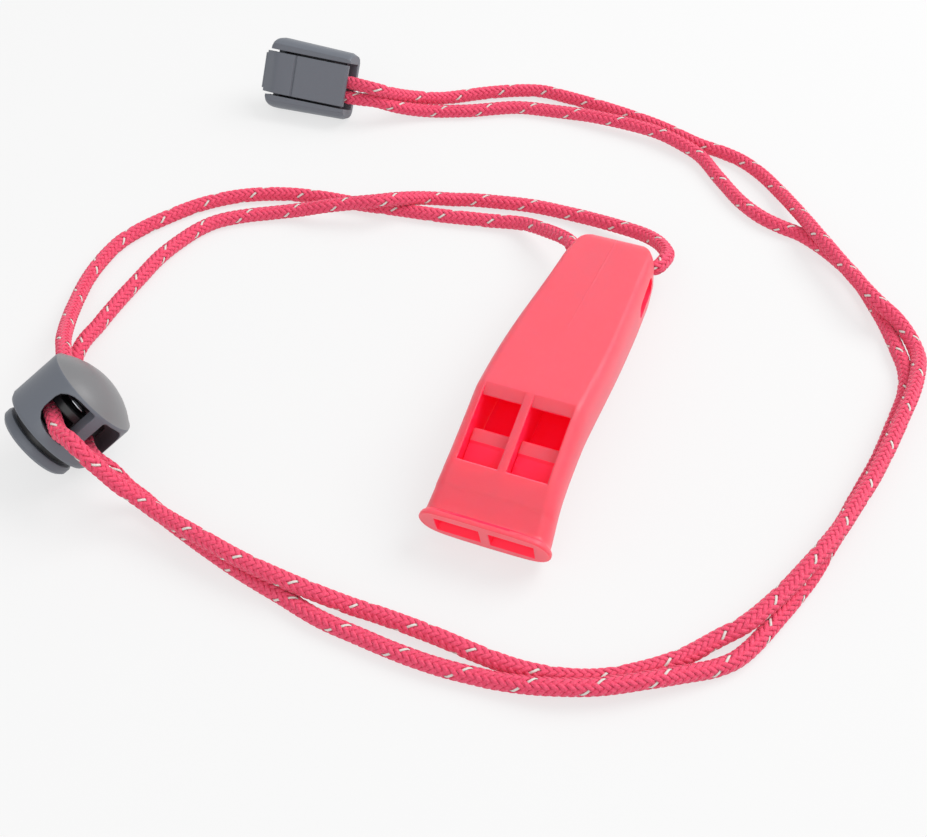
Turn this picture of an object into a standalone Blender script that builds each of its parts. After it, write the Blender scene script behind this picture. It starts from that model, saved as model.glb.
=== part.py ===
"""Flat twin-tone training whistle on a braided cord lanyard, with a sprung cord lock and a cord-end clip.

Sizes are in millimetres and become metres when a mesh is made. The origin is on the floor under the middle
of the whistle, +Z is up and the mouth faces -Y. Along the whistle, u counts from the mouth and y is u minus
half the length.
"""

import math

import bmesh
import bpy
from mathutils import Matrix, Vector

MM = 0.001

# Cord
CORD_D = 2.8
CORD_CLEARANCE = 0.3
CORD_POINTS = 80

# Whistle, outside
LENGTH = 77.3
NOSE_R = 6.0
REAR_HALF_WIDTH = 9.1
REAR_ROUNDING = 10.0
HUMP_U = 23.2
HUMP_Z = 17.45
MOUTH_Z = 7.3
MOUTH_RAKE = 2.9
FLANGE_HALF_WIDTH = 11.45
FLANGE_RISE = 1.6
GRIP_STEP = 0.45
GRIP_STEP_U = 5.4
NECK_U = 3.2
TOP_FRONT_U = 9.5
TOP_FRONT_Z = 12.4
ARCH = 6.2
FOOT_U = 61.0
LIP_U = 3.3

# Whistle, inside
RIB = 1.5
WINDOW_HALF_WIDTH = 7.8
MOUTH_DUCT_HALF_WIDTH = 8.75
WINDOW_ROOF = 1.2
WINDWAY_FLOOR_DROP = 2.85
BLOCK_START_U = 14.9
BLOCK_STEP = 0.45
BLOCK_END_U = 17.0
BLOCK_CHAMFER = 1.0
LABIUM_U = 21.6
LABIUM_DROP = 1.6
CHAMBER_ROOF = 2.0
LEFT_CHAMBER_END = 56.0
RIGHT_CHAMBER_END = 50.0
LIP_WALL_U = 6.5
DUCT_TOP = (0.9, 6.1)
DUCT_FLOOR = (2.3, 1.6)
DUCT_FLOOR_INNER_Z = 5.4
BASE_PLATE = 1.3
BASE_FIT = 0.15

# Cord hole and side pockets
HOLE_FROM_END = 3.85
HOLE_Z = 7.4
HOLE_FLARE = 1.0
POCKET_LENGTH = 10.0
POCKET_HEIGHT = 3.4
POCKET_DEPTH = 2.3
POCKET_BELOW_TOP = 4.6

# Cord lock
LOCK_ORIGIN = (-76.3, -44.8, 7.85)
LOCK_HEADING = 50.5
LOCK_PITCH = 29.7
LOCK_ROLL = 13.3
BARREL_R = 8.75
BARREL_SIDE = 10.5
BARREL_DOME = 3.0
BARREL_ROOF = 1.5
STEM_R = 5.9
STEM_CLEARANCE = 0.2
OPENING_LOW = 2.3
OPENING_HEIGHT = 7.6
OPENING_ROUNDING = 2.6
OPENING_INNER_ROUNDING = 0.5
OPENING_INNER = 1.0
OPENING_OUTER = 6.9
STRAND_OFFSET = 3.8
BUTTON_R = 7.1
BUTTON_THICKNESS = 2.2
BUTTON_GAP = 1.4
STEM_END_WALL = 1.4
SPRING_WIRE = 0.8
SPRING_R = 4.0
SPRING_TURNS = 3
SPRING_SEAT_GAP = 0.15
LOCK_FRONT_LEAD = 5.0
LOCK_BACK_LEAD = 8.6

# Cord-end clip
CLIP_PLACE = (-91.0, 73.3)
CLIP_HEADING = 1.2
CLIP_ROLL = 57.0
CLIP_LENGTH = 18.6
CLIP_HINGE_WIDTH = 15.8
CLIP_MOUTH_WIDTH = 14.6
CLIP_HINGE_HEIGHT = 7.6
CLIP_MOUTH_HEIGHT = 6.3
CLIP_FLOOR = 1.3
CLIP_RAIL = 2.3
CLIP_END_WALL = 1.4
CLIP_TEETH = 0.4
CLIP_TEETH_COUNT = 5
LID_FIT = 0.5
HINGE_R = 1.0
HINGE_X = -1.7
HINGE_Z = 3.4
CLIP_STRANDS = (0.9, -2.3)

# Half of a cross-section, bottom centre to top centre: share of the half width, share of the height
SECTION = [
    (0.0, 0.0), (0.4, 0.0), (0.76, 0.0), (0.865, 0.03), (0.935, 0.1), (0.975, 0.22), (0.995, 0.36),
    (1.0, 0.5), (0.993, 0.63), (0.972, 0.76), (0.938, 0.865), (0.892, 0.94), (0.84, 0.985), (0.78, 1.0),
    (0.4, 1.0), (0.0, 1.0),
]

# Half of the mouth's rim, which draws to a point at its sides, in the same shares
RIM_SECTION = [
    (0.0, 0.0), (0.4, 0.01), (0.66, 0.035), (0.8, 0.085), (0.89, 0.16), (0.95, 0.26), (0.985, 0.38),
    (1.0, 0.5), (0.99, 0.61), (0.965, 0.71), (0.93, 0.8), (0.885, 0.87), (0.83, 0.925), (0.76, 0.965),
    (0.4, 1.0), (0.0, 1.0),
]

# Half of the clip's cross-section, in the same shares
CLIP_SECTION = [
    (0.0, 0.0), (0.5, 0.0), (0.78, 0.0), (0.9, 0.07), (0.97, 0.2), (1.0, 0.4), (0.985, 0.6), (0.95, 0.78),
    (0.89, 0.92), (0.8, 1.0), (0.4, 1.0), (0.0, 1.0),
]

# Greatest half width along the straight part of the whistle
HALF_WIDTHS = [
    (NECK_U, 10.7), (10.0, 10.2), (20.0, 10.1), (32.0, 10.35), (42.0, 10.25), (52.0, 9.8), (62.0, 9.3),
]

# Cord on the floor: x, y and height over the floor in cord thicknesses
CLIP_TO_LOCK = [
    (-66.8, 71.2, 2.4), (-62.9, 74.3, 1.54), (-59.2, 78.2, 0.75), (-55.2, 81.6, 0.25), (-49.4, 86.5, 0),
    (-40.4, 91.8, 0), (-34.7, 93.7, 0), (-29.3, 93.5, 0), (-18.4, 92.3, 0), (-5.6, 89.7, 0), (4.5, 86.1, 0),
    (9.2, 85.3, 0), (14, 83.7, 0.05), (19.1, 80.3, 0.1), (24.6, 74.8, 0.2), (30.2, 67.2, 0.68),
    (35.6, 59.5, 1.13), (40.6, 53.9, 1.08), (45.5, 47.9, 1.22), (50.1, 43.1, 1.26), (53.7, 41.2, 0.88),
    (57, 37.5, 0.64), (59, 34, 0.46), (59.6, 30.2, 0.72), (59.7, 23.6, 0.92), (58.9, 15.9, 1.04),
    (57.7, 6.7, 1.01), (56.4, -0.9, 0.96), (54.7, -8.5, 1.05), (53.3, -14.5, 1.12), (51.7, -19.7, 1.24),
    (49.7, -24.9, 1.12), (47.4, -30, 0.84), (43.3, -37.5, 0.62), (40.2, -40.6, 0.25), (35.4, -46.1, 0),
    (30.4, -50.4, 0), (25.1, -53.8, 0), (19.4, -55.8, 0), (13.3, -56.7, 0), (6.7, -56.5, 0), (-0.1, -55.8, 0),
    (-7, -55.4, 0), (-13.9, -55.3, 0), (-20.4, -56, 0.58), (-27.3, -55.9, 0.88), (-34.8, -55.1, 1),
    (-42.8, -53.6, 1.14), (-51.2, -51.7, 1.17), (-55.3, -50.8, 1.5), (-58.5, -51, 2.3), (-61.6, -51.1, 3.4),
    (-63.7, -51.4, 4.35), (-65.4, -50.9, 4.68), (-67.6, -49.9, 4.7), (-70.1, -48.8, 4.52),
]
LOCK_TO_LEFT_SIDE = [
    (-81.9, -33.2, 2.8), (-82.6, -29.8, 2.68), (-84.5, -26.9, 2.45), (-87, -23.5, 2.05),
    (-91.2, -16.1, 1.1), (-94.5, -8.7, 0.35), (-96.5, -2.1, 0.05), (-97.1, 3.6, 0), (-96.7, 10.5, 0),
    (-95, 15.5, 0), (-92.8, 19.7, 0), (-87.6, 27.4, 0), (-81.2, 33.1, 0),
    (-73.7, 36.8, 0), (-65.3, 38.8, 0), (-56.5, 39.7, 0), (-48, 41, 0), (-39.5, 42.2, 0), (-31.2, 43.9, 0),
]
BEHIND_LEFT = [
    (-23.8, 10.3, 0.18), (-20.5, 9.5, 0.5), (-18, 8.2, 0.82), (-15.3, 6.6, 1.18), (-12.7, 4.8, 1.57),
    (-9.9, 2.5, 1.96),
]
BEHIND_RIGHT = [
    (9.1, 3.2, 2.07), (8.9, 6.2, 1.79), (6.7, 10, 1.36), (4.2, 12.7, 0.96), (1.2, 14.7, 0.61),
]
RIGHT_SIDE_TO_LOCK = [
    (-5.5, 50.9, 0.4), (-12.3, 52.2, 0.1), (-21.1, 52.3, 0), (-29.4, 50.9, 0), (-37.6, 48.7, 0),
    (-44, 45.1, 0.45), (-47.8, 40.8, 1.1), (-51.8, 37.3, 1.37), (-56.8, 35.7, 1.08), (-61.6, 33.8, 0.85),
    (-66.9, 32.5, 0.3), (-74.5, 29.1, 0), (-81.2, 24.1, 0), (-83.7, 20.3, 0), (-85.5, 15.2, 0),
    (-86.8, 9.3, 0), (-87.2, 2.1, 0), (-87.5, -4.8, 0), (-87.5, -12.2, 0), (-86.9, -19.3, 0.3),
    (-83.6, -28.5, 0.45),
]
LOCK_TO_CLIP = [
    (-66.8, -46.6, 2.3), (-64.7, -47.5, 2.26), (-62.1, -47.9, 1.95), (-59.4, -48.2, 1), (-56.7, -48.2, 0.3),
    (-53, -49.5, 0.05), (-43.8, -52.7, 0),
    (-35, -55.4, 0), (-26.8, -57.4, 0), (-19, -59.3, 0), (-11.7, -60.1, 0), (-4.8, -60.7, 0), (1.9, -60.8, 0),
    (8.2, -60.3, 0), (14.3, -59.6, 0.2), (20.2, -58.3, 0.44), (25.6, -56.2, 0.48), (30.8, -53.2, 0.48),
    (36, -49.6, 0.29), (41.2, -45.6, 0), (43.4, -43.3, 0), (45.4, -39.6, 0), (47.3, -34.5, 0),
    (49.2, -29.1, 0), (51.1, -22.8, 0), (52.3, -16.7, 0), (53.7, -10.4, 0), (54.9, -3.8, 0),
    (56.7, 5.7, 0), (58, 17.4, 0),
    (58.5, 24.1, 0), (57.6, 30.2, 0), (55.2, 35.6, 0), (52.5, 41, 0), (49.7, 45.7, 0), (44.2, 53.7, 0),
    (40.1, 57.5, 0), (35.9, 60.6, 0), (31.4, 63, 0), (27, 64.1, 0), (22.4, 65.9, 0), (17.3, 69.5, 0),
    (11.6, 75.4, 0), (5.6, 81.6, 0.15), (0.4, 84.1, 0.3), (-4.7, 85.9, 0.36), (-9.9, 86.7, 0.36),
    (-20.3, 87.3, 0.25), (-25.5, 87.3, 0.1), (-32.2, 86.6, 0), (-38.1, 85.3, 0), (-47.6, 80.2, 0),
    (-53.6, 77.6, 0.03), (-58.1, 75.4, 0.25), (-62.2, 72.6, 0.75), (-66.6, 70.4, 1.4),
]


def clear_scene():
    for item in list(bpy.data.objects):
        bpy.data.objects.remove(item, do_unlink=True)


def principled(name, colour, roughness, metallic=0.0):
    """A plain material with one shader."""
    material = bpy.data.materials.new(name)
    material.use_nodes = True
    shader = material.node_tree.nodes["Principled BSDF"]
    shader.inputs["Base Color"].default_value = (*colour, 1.0)
    shader.inputs["Roughness"].default_value = roughness
    shader.inputs["Metallic"].default_value = metallic
    return material


def mesh_object(name, points, faces, material=None, smooth=False):
    """A mesh with its faces turned outwards, from points in millimetres."""
    mesh = bpy.data.meshes.new(name)
    mesh.from_pydata([Vector(point) * MM for point in points], [], faces)
    shaped = bmesh.new()
    shaped.from_mesh(mesh)
    bmesh.ops.recalc_face_normals(shaped, faces=shaped.faces)
    shaped.to_mesh(mesh)
    shaped.free()
    for face in mesh.polygons:
        face.use_smooth = smooth
    if smooth:
        mesh.set_sharp_from_angle(angle=math.radians(32))
    item = bpy.data.objects.new(name, mesh)
    bpy.context.scene.collection.objects.link(item)
    if material:
        mesh.materials.append(material)
    return item


def loft(name, rings, material=None, smooth=False):
    """A closed skin over rings of equally many points, capped at both ends."""
    count = len(rings[0])
    points = [point for ring in rings for point in ring]
    faces = []
    for row in range(len(rings) - 1):
        for column in range(count):
            after = (column + 1) % count
            low = row * count
            high = low + count
            faces.append((low + column, low + after, high + after, high + column))
    faces.append(tuple(reversed(range(count))))
    faces.append(tuple(range(len(points) - count, len(points))))
    return mesh_object(name, points, faces, material, smooth)


def side_prism(name, outline, x_low, x_high, material=None):
    """A side outline of (u, z) points drawn across the whistle from one x to another."""
    rings = []
    for x in (x_low, x_high):
        rings.append([(x, u - LENGTH / 2, z) for u, z in outline])
    return loft(name, rings, material)


def lathe(name, profile, sides, material=None, smooth=False):
    """A turned solid about Z from (radius, z) points; a point at radius 0 closes an end."""
    points = []
    rows = []
    for radius, z in profile:
        if radius == 0:
            rows.append([len(points)])
            points.append((0, 0, z))
            continue
        rows.append(list(range(len(points), len(points) + sides)))
        for step in range(sides):
            angle = 2 * math.pi * step / sides
            points.append((radius * math.cos(angle), radius * math.sin(angle), z))
    faces = []
    for low, high in zip(rows, rows[1:]):
        for step in range(sides):
            after = (step + 1) % sides
            if len(low) == 1:
                faces.append((low[0], high[after], high[step]))
            elif len(high) == 1:
                faces.append((low[step], low[after], high[0]))
            else:
                faces.append((low[step], low[after], high[after], high[step]))
    return mesh_object(name, points, faces, material, smooth)


def box(name, low, high, material=None):
    x0, y0, z0 = low
    x1, y1, z1 = high
    rings = []
    for z in (z0, z1):
        rings.append([(x0, y0, z), (x1, y0, z), (x1, y1, z), (x0, y1, z)])
    return loft(name, rings, material)


def rounded_outline(low, high, left_radius, right_radius, steps=4):
    """A rectangle in two directions with one corner radius on its left and one on its right."""
    a0, b0 = low
    a1, b1 = high
    corners = [
        (a1 - right_radius, b1 - right_radius, right_radius),
        (a0 + left_radius, b1 - left_radius, left_radius),
        (a0 + left_radius, b0 + left_radius, left_radius),
        (a1 - right_radius, b0 + right_radius, right_radius),
    ]
    outline = []
    for corner, (a, b, radius) in enumerate(corners):
        for step in range(steps + 1):
            angle = math.pi / 2 * (corner + step / steps)
            outline.append((a + radius * math.cos(angle), b + radius * math.sin(angle)))
    return outline


def boolean(target, tool, operation):
    """Adds a live Boolean and hides its tool."""
    modifier = target.modifiers.new(tool.name, "BOOLEAN")
    modifier.operation = operation
    modifier.solver = "EXACT"
    modifier.object = tool
    tool.hide_render = True
    tool.display_type = "WIRE"


def cut(target, tool):
    boolean(target, tool, "DIFFERENCE")


def join(target, tool):
    boolean(target, tool, "UNION")


def smooth_value(pairs, at):
    """A smooth curve through (position, value) pairs."""
    last = len(pairs) - 1
    if at <= pairs[0][0]:
        return pairs[0][1]
    if at >= pairs[last][0]:
        return pairs[last][1]
    index = max(i for i in range(last) if pairs[i][0] <= at)

    def slope(i):
        before = pairs[max(i - 1, 0)]
        after = pairs[min(i + 1, last)]
        return (after[1] - before[1]) / (after[0] - before[0])

    (p0, v0), (p1, v1) = pairs[index], pairs[index + 1]
    span = p1 - p0
    t = (at - p0) / span
    rise = (3 - 2 * t) * t * t
    bend = slope(index) * t * (1 - t) ** 2 - slope(index + 1) * t * t * (1 - t)
    return v0 + (v1 - v0) * rise + span * bend


def nose_u():
    return LENGTH - NOSE_R


def hole_y():
    return LENGTH / 2 - HOLE_FROM_END


def top_z(u):
    """Height of the whistle's top along its centre line, between the neck and the nose."""
    if u < TOP_FRONT_U:
        return MOUTH_Z + (TOP_FRONT_Z - MOUTH_Z) * u / TOP_FRONT_U
    if u < HUMP_U:
        return TOP_FRONT_Z + (HUMP_Z - TOP_FRONT_Z) * (u - TOP_FRONT_U) / (HUMP_U - TOP_FRONT_U)
    return HUMP_Z + (2 * NOSE_R - HUMP_Z) * (u - HUMP_U) / (nose_u() - HUMP_U)


def bottom_z(u):
    """Height of the arched underside, which meets the floor at the lip and at the rear foot."""
    if u >= FOOT_U:
        return 0.0
    share = min((FOOT_U - u) / (FOOT_U - LIP_U), 1.0)
    return ARCH * math.sin(math.pi * share**1.3)


def half_width(u):
    """Greatest half width, drawn in by a superellipse at the rear."""
    straight = smooth_value(HALF_WIDTHS + [(LENGTH - REAR_ROUNDING, REAR_HALF_WIDTH)], u)
    into = (u - (LENGTH - REAR_ROUNDING)) / REAR_ROUNDING
    if into <= 0:
        return straight
    return straight * max(1 - into**2.3, 0) ** (1 / 2.3)


def section_ring(top, bottom, width, rim=0.0):
    """One cross-section between two points of the side view, blended from the body's shape to the rim's."""
    half = []
    for (body_across, body_up), (rim_across, rim_up) in zip(SECTION, RIM_SECTION):
        across = body_across + (rim_across - body_across) * rim
        up = body_up + (rim_up - body_up) * rim
        u = bottom[0] + (top[0] - bottom[0]) * up
        z = bottom[1] + (top[1] - bottom[1]) * up
        half.append((width * across, u - LENGTH / 2, z))
    mirrored = [(-x, y, z) for x, y, z in reversed(half[1:-1])]
    return half + mirrored


def whistle_rings():
    """Cross-sections from the raked mouth over the flange, neck and hump to the rounded nose."""
    lip = MOUTH_Z + FLANGE_RISE
    neck = half_width(NECK_U)
    rings = [
        section_ring((0.45, lip - 0.75), (LIP_U - 0.35, 0.5), FLANGE_HALF_WIDTH - 0.6, 1.0),
        section_ring((0.1, lip - 0.35), (LIP_U - 0.3, 0.2), FLANGE_HALF_WIDTH - 0.2, 1.0),
        section_ring((0.25, lip - 0.05), (LIP_U, 0.0), FLANGE_HALF_WIDTH, 1.0),
    ]
    for u, rim in ((0.85, 1.0), (1.2, 0.85), (1.5, 0.55), (1.85, 0.27), (2.3, 0.08)):
        low = u + MOUTH_RAKE * (1 - u / 14)
        top = (top_z(u) - GRIP_STEP) * (1 - rim) + lip * rim
        bottom = (bottom_z(low) + 0.35) * (1 - rim)
        rings.append(section_ring((u, top), (low, bottom), neck + (FLANGE_HALF_WIDTH - neck) * rim, rim))
    for u, drop in ((NECK_U, 1), (GRIP_STEP_U, 1), (GRIP_STEP_U + 0.3, 0.7), (GRIP_STEP_U + 0.7, 0)):
        low = u + MOUTH_RAKE * (1 - u / 14)
        rings.append(section_ring((u, top_z(u) - GRIP_STEP * drop), (low, bottom_z(low)), half_width(u)))
    for u in (8.0, TOP_FRONT_U, 12.0, 14.5, 17.0, 20.0, 22.2):
        low = u + max(MOUTH_RAKE * (1 - u / 14), 0)
        rings.append(section_ring((u, top_z(u)), (low, bottom_z(low)), half_width(u)))
    rings.append(section_ring((HUMP_U, HUMP_Z - 0.05), (HUMP_U, bottom_z(HUMP_U)), half_width(HUMP_U)))
    steps = 12
    for step in range(1, steps + 1):
        u = HUMP_U + 1.2 + (nose_u() - HUMP_U - 1.2) * (step - 1) / (steps - 1)
        rings.append(section_ring((u, top_z(u)), (u, bottom_z(u)), half_width(u)))
    for angle in (12, 24, 36, 47, 57, 66, 74, 81, 86):
        u = nose_u() + NOSE_R * math.sin(math.radians(angle))
        rise = NOSE_R * math.cos(math.radians(angle))
        rings.append(section_ring((u, NOSE_R + rise), (u, NOSE_R - rise), half_width(u)))
    return rings


def duct_roof_z(u):
    inner_z = TOP_FRONT_Z - WINDOW_ROOF
    return DUCT_TOP[1] + (inner_z - DUCT_TOP[1]) * (u - DUCT_TOP[0]) / (TOP_FRONT_U - DUCT_TOP[0])


def duct_floor_z(u):
    slope = (DUCT_FLOOR_INNER_Z - DUCT_FLOOR[1]) / (LIP_WALL_U - DUCT_FLOOR[0])
    return DUCT_FLOOR[1] + slope * (u - DUCT_FLOOR[0])


def chamber_outline(end_u, pocket_end_u):
    """Side view of the air space of one tone, from windway to chamber, open below for the insert."""
    far = HUMP_Z + 6.0
    edge_z = HUMP_Z - LABIUM_DROP
    outline = [
        (LIP_WALL_U, duct_roof_z(LIP_WALL_U)), (TOP_FRONT_U, TOP_FRONT_Z - WINDOW_ROOF),
        (TOP_FRONT_U - 0.3, far), (LABIUM_U + far - edge_z, far),
        (LABIUM_U, edge_z), (LABIUM_U + 0.1, edge_z - 0.25),
    ]
    for step in range(7):
        u = HUMP_U + (end_u - HUMP_U) * step / 6
        outline.append((u, top_z(u) - CHAMBER_ROOF - 0.2))
    if pocket_end_u > end_u:
        outline.append((end_u, bottom_z(end_u) + 2 * BASE_PLATE))
        outline.append((pocket_end_u, bottom_z(pocket_end_u) + BASE_PLATE + BASE_FIT))
    outline.append((pocket_end_u, -5.0))
    outline.append((LIP_WALL_U, -5.0))
    return outline


def duct_tool(name, side):
    """One mouth duct, narrowing from the flange to the windway."""
    mouth_roof = (DUCT_TOP[0] - 2.0, duct_roof_z(DUCT_TOP[0] - 2.0))
    mouth_floor = (DUCT_FLOOR[0] - 2.0, duct_floor_z(DUCT_FLOOR[0] - 2.0))
    inner_u = LIP_WALL_U + 0.7
    inner_roof = (inner_u, duct_roof_z(inner_u) - 0.03)
    inner_floor = (inner_u, duct_floor_z(inner_u))
    rings = []
    for roof, floor, near, wide in (
        (mouth_roof, mouth_floor, RIB / 2 + 0.1, MOUTH_DUCT_HALF_WIDTH + 0.15),
        (inner_roof, inner_floor, RIB / 2 + 0.04, WINDOW_HALF_WIDTH - 0.05),
    ):
        ring = [(near, floor), (wide, floor), (wide, roof), (near, roof)]
        rings.append([(side * x, u - LENGTH / 2, z) for x, (u, z) in ring])
    return loft(name, rings)


def hole_tool():
    """Cross hole for the cord with flared ends."""
    radius = CORD_D / 2 + 0.5
    reach = half_width(LENGTH - HOLE_FROM_END)
    stations = [(-reach - 2, HOLE_FLARE + 1), (-reach, HOLE_FLARE * 0.6), (-reach + 1.6, 0)]
    stations += [(-x, more) for x, more in reversed(stations)]
    rings = []
    for x, more in stations:
        ring = []
        for step in range(24):
            angle = 2 * math.pi * step / 24
            y = hole_y() + (radius + more) * math.cos(angle)
            ring.append((x, y, HOLE_Z + (radius + more) * math.sin(angle)))
        rings.append(ring)
    return loft("cord_hole_tool", rings)


def make_whistle(red):
    body = loft("whistle_body", whistle_rings(), red, smooth=True)
    for name, side, end_u in (("left", -1, LEFT_CHAMBER_END), ("right", 1, RIGHT_CHAMBER_END)):
        cut(body, duct_tool(name + "_duct_tool", side))
        outline = chamber_outline(end_u, max(LEFT_CHAMBER_END, RIGHT_CHAMBER_END))
        near, wide = side * RIB / 2, side * WINDOW_HALF_WIDTH
        cut(body, side_prism(name + "_chamber_tool", outline, min(near, wide), max(near, wide)))
        middle_u = LENGTH - HOLE_FROM_END - 5.0 - POCKET_LENGTH / 2
        middle_z = top_z(middle_u) - POCKET_BELOW_TOP
        slot = rounded_outline(
            (middle_u - POCKET_LENGTH / 2, middle_z - POCKET_HEIGHT / 2),
            (middle_u + POCKET_LENGTH / 2, middle_z + POCKET_HEIGHT / 2),
            POCKET_HEIGHT / 2 - 0.05,
            POCKET_HEIGHT / 2 - 0.05,
        )
        floor_x, out_x = side * (half_width(middle_u) - POCKET_DEPTH), side * (half_width(middle_u) + 3)
        cut(body, side_prism(name + "_pocket_tool", slot, min(floor_x, out_x), max(floor_x, out_x)))
    cut(body, hole_tool())
    end_u = max(LEFT_CHAMBER_END, RIGHT_CHAMBER_END)
    under = []
    for step in range(13):
        u = LIP_WALL_U + 0.02 + (end_u - LIP_WALL_U - 0.04) * step / 12
        under.append((u, bottom_z(u) + BASE_PLATE + BASE_FIT))
    under += [(end_u - 0.02, -4.0), (LIP_WALL_U + 0.02, -4.0)]
    cut(body, side_prism("base_seat_tool", under, -RIB, RIB))

    plate = []
    for step in range(17):
        u = LIP_WALL_U + BASE_FIT + (end_u - LIP_WALL_U - 2 * BASE_FIT) * step / 16
        plate.append((u, bottom_z(u)))
    plate += [(u, z + BASE_PLATE) for u, z in reversed(plate)]
    width = WINDOW_HALF_WIDTH - BASE_FIT
    base = side_prism("whistle_base", plate, -width, width, red)
    start = LIP_WALL_U + BASE_FIT
    sill_u = TOP_FRONT_U + 1.5
    block_end_z = top_z(BLOCK_END_U) - WINDWAY_FLOOR_DROP
    block_start_z = top_z(BLOCK_START_U) - WINDWAY_FLOOR_DROP
    block = [
        (start, bottom_z(start) + 0.5), (start, duct_floor_z(start)),
        (TOP_FRONT_U, duct_floor_z(TOP_FRONT_U) + 0.1), (sill_u, top_z(sill_u) - WINDWAY_FLOOR_DROP - 0.3),
        (BLOCK_START_U - 0.3, block_start_z - BLOCK_STEP), (BLOCK_START_U, block_start_z),
        (BLOCK_END_U, block_end_z),
        (BLOCK_END_U + BLOCK_CHAMFER, block_end_z - BLOCK_CHAMFER),
        (BLOCK_END_U + BLOCK_CHAMFER, bottom_z(BLOCK_END_U + BLOCK_CHAMFER) + 0.5),
    ]
    near, wide = RIB / 2 + BASE_FIT, width - 0.1
    join(base, side_prism("right_block_tool", block, near, wide))
    join(base, side_prism("left_block_tool", block, -wide, -near))


def lock_matrix():
    """Lock frame: X out of the front openings, Y across the two strands, Z from button to dome."""
    heading = math.radians(LOCK_HEADING)
    pitch = math.radians(LOCK_PITCH)
    roll = math.radians(LOCK_ROLL)
    level_share = math.cos(pitch)
    along = Vector((level_share * math.cos(heading), level_share * math.sin(heading), math.sin(pitch)))
    level = Vector((math.sin(heading), -math.cos(heading), 0))
    upward = level.cross(along)
    front = level * math.cos(roll) + upward * math.sin(roll)
    across = along.cross(front)
    matrix = Matrix((front, across, along)).transposed().to_4x4()
    matrix.translation = Vector(LOCK_ORIGIN) * MM
    return matrix


def strand_height():
    """Height of the two strands on the lock axis, pressed against the button side of the openings."""
    return OPENING_LOW + CORD_CLEARANCE + CORD_D / 2


def stem_end():
    return strand_height() + CORD_D / 2 + CORD_CLEARANCE + STEM_END_WALL


def opening_tool(name, side):
    """A hole through the lock for one strand, round on its outer side and square on its inner side."""
    z_low = OPENING_LOW
    z_high = OPENING_LOW + OPENING_HEIGHT
    low = (-OPENING_OUTER, z_low)
    high = (-OPENING_INNER, z_high)
    outline = rounded_outline(low, high, OPENING_ROUNDING, OPENING_INNER_ROUNDING)
    rings = []
    for x in (-BARREL_R - 2, BARREL_R + 2):
        rings.append([(x, -side * y, z) for y, z in outline])
    return loft(name, rings)


def place(item, frame):
    item.parent = frame


def make_lock(grey, black):
    frame = bpy.data.objects.new("lock_frame", None)
    bpy.context.scene.collection.objects.link(frame)
    frame.matrix_world = lock_matrix()
    bore = STEM_R + STEM_CLEARANCE
    roof = BARREL_SIDE + BARREL_DOME - BARREL_ROOF
    profile = [
        (0, 0), (BARREL_R - 1.0, 0), (BARREL_R - 0.35, 0.2), (BARREL_R, 0.9), (BARREL_R, BARREL_SIDE - 0.4),
        (BARREL_R - 0.15, BARREL_SIDE),
    ]
    sphere = ((BARREL_R - 0.3) ** 2 + BARREL_DOME**2) / (2 * BARREL_DOME)
    for share in (0.97, 0.9, 0.78, 0.6, 0.4, 0.2):
        radius = (BARREL_R - 0.3) * share
        profile.append((radius, BARREL_SIDE + BARREL_DOME - sphere + math.sqrt(sphere**2 - radius**2)))
    profile += [(0, BARREL_SIDE + BARREL_DOME)]
    barrel = lathe("lock_barrel", profile, 48, grey, smooth=True)
    bore_tool = lathe("bore_tool", [(0, -1), (bore, -1), (bore, roof), (0, roof)], 40)
    cut(barrel, bore_tool)
    left = opening_tool("left_opening_tool", -1)
    right = opening_tool("right_opening_tool", 1)
    cut(barrel, left)
    cut(barrel, right)

    low = -BUTTON_GAP - BUTTON_THICKNESS
    slot_low = strand_height() - CORD_D / 2 - CORD_CLEARANCE - BUTTON_GAP
    slot_high = stem_end() - STEM_END_WALL
    spigot = SPRING_R - SPRING_WIRE / 2 - 0.3
    profile = [
        (0, low), (BUTTON_R - 1.4, low), (BUTTON_R - 0.5, low + 0.25), (BUTTON_R, low + 0.8),
        (BUTTON_R, -BUTTON_GAP - 0.5), (BUTTON_R - 0.3, -BUTTON_GAP), (STEM_R, -BUTTON_GAP),
        (STEM_R, stem_end()), (spigot, stem_end()), (spigot, stem_end() + 1.1), (0, stem_end() + 1.1),
    ]
    plunger = lathe("lock_plunger", profile, 40, grey, smooth=True)
    web = OPENING_INNER + 0.1
    for name, near, far in (("left", -STEM_R - 2, -web), ("right", web, STEM_R + 2)):
        slot = box(name + "_slot_tool", (-STEM_R - 2, near, slot_low), (STEM_R + 2, far, slot_high))
        place(slot, frame)
        cut(plunger, slot)

    first = stem_end() + SPRING_SEAT_GAP + SPRING_WIRE / 2
    last = roof - SPRING_SEAT_GAP - SPRING_WIRE / 2
    steps = 10 * SPRING_TURNS
    coil = []
    for step in range(steps + 1):
        angle = 2 * math.pi * step / 10
        height = first + (last - first) * step / steps
        coil.append(Vector((SPRING_R * math.cos(angle), SPRING_R * math.sin(angle), height)))
    coil.insert(0, coil[0] + (coil[0] - coil[1]).normalized() * SPRING_WIRE * 0.9)
    coil[0].z = first
    coil.append(coil[-1] + (coil[-1] - coil[-2]).normalized() * SPRING_WIRE * 0.9)
    coil[-1].z = last
    gap = min((a - b).length for i, a in enumerate(coil) for b in coil[i + 5:]) - SPRING_WIRE
    print(f"least gap between spring turns {gap:.2f} mm")
    spring = tube("lock_spring", coil, SPRING_WIRE, 1, black)
    for item in (barrel, bore_tool, left, right, plunger, spring):
        place(item, frame)


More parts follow.
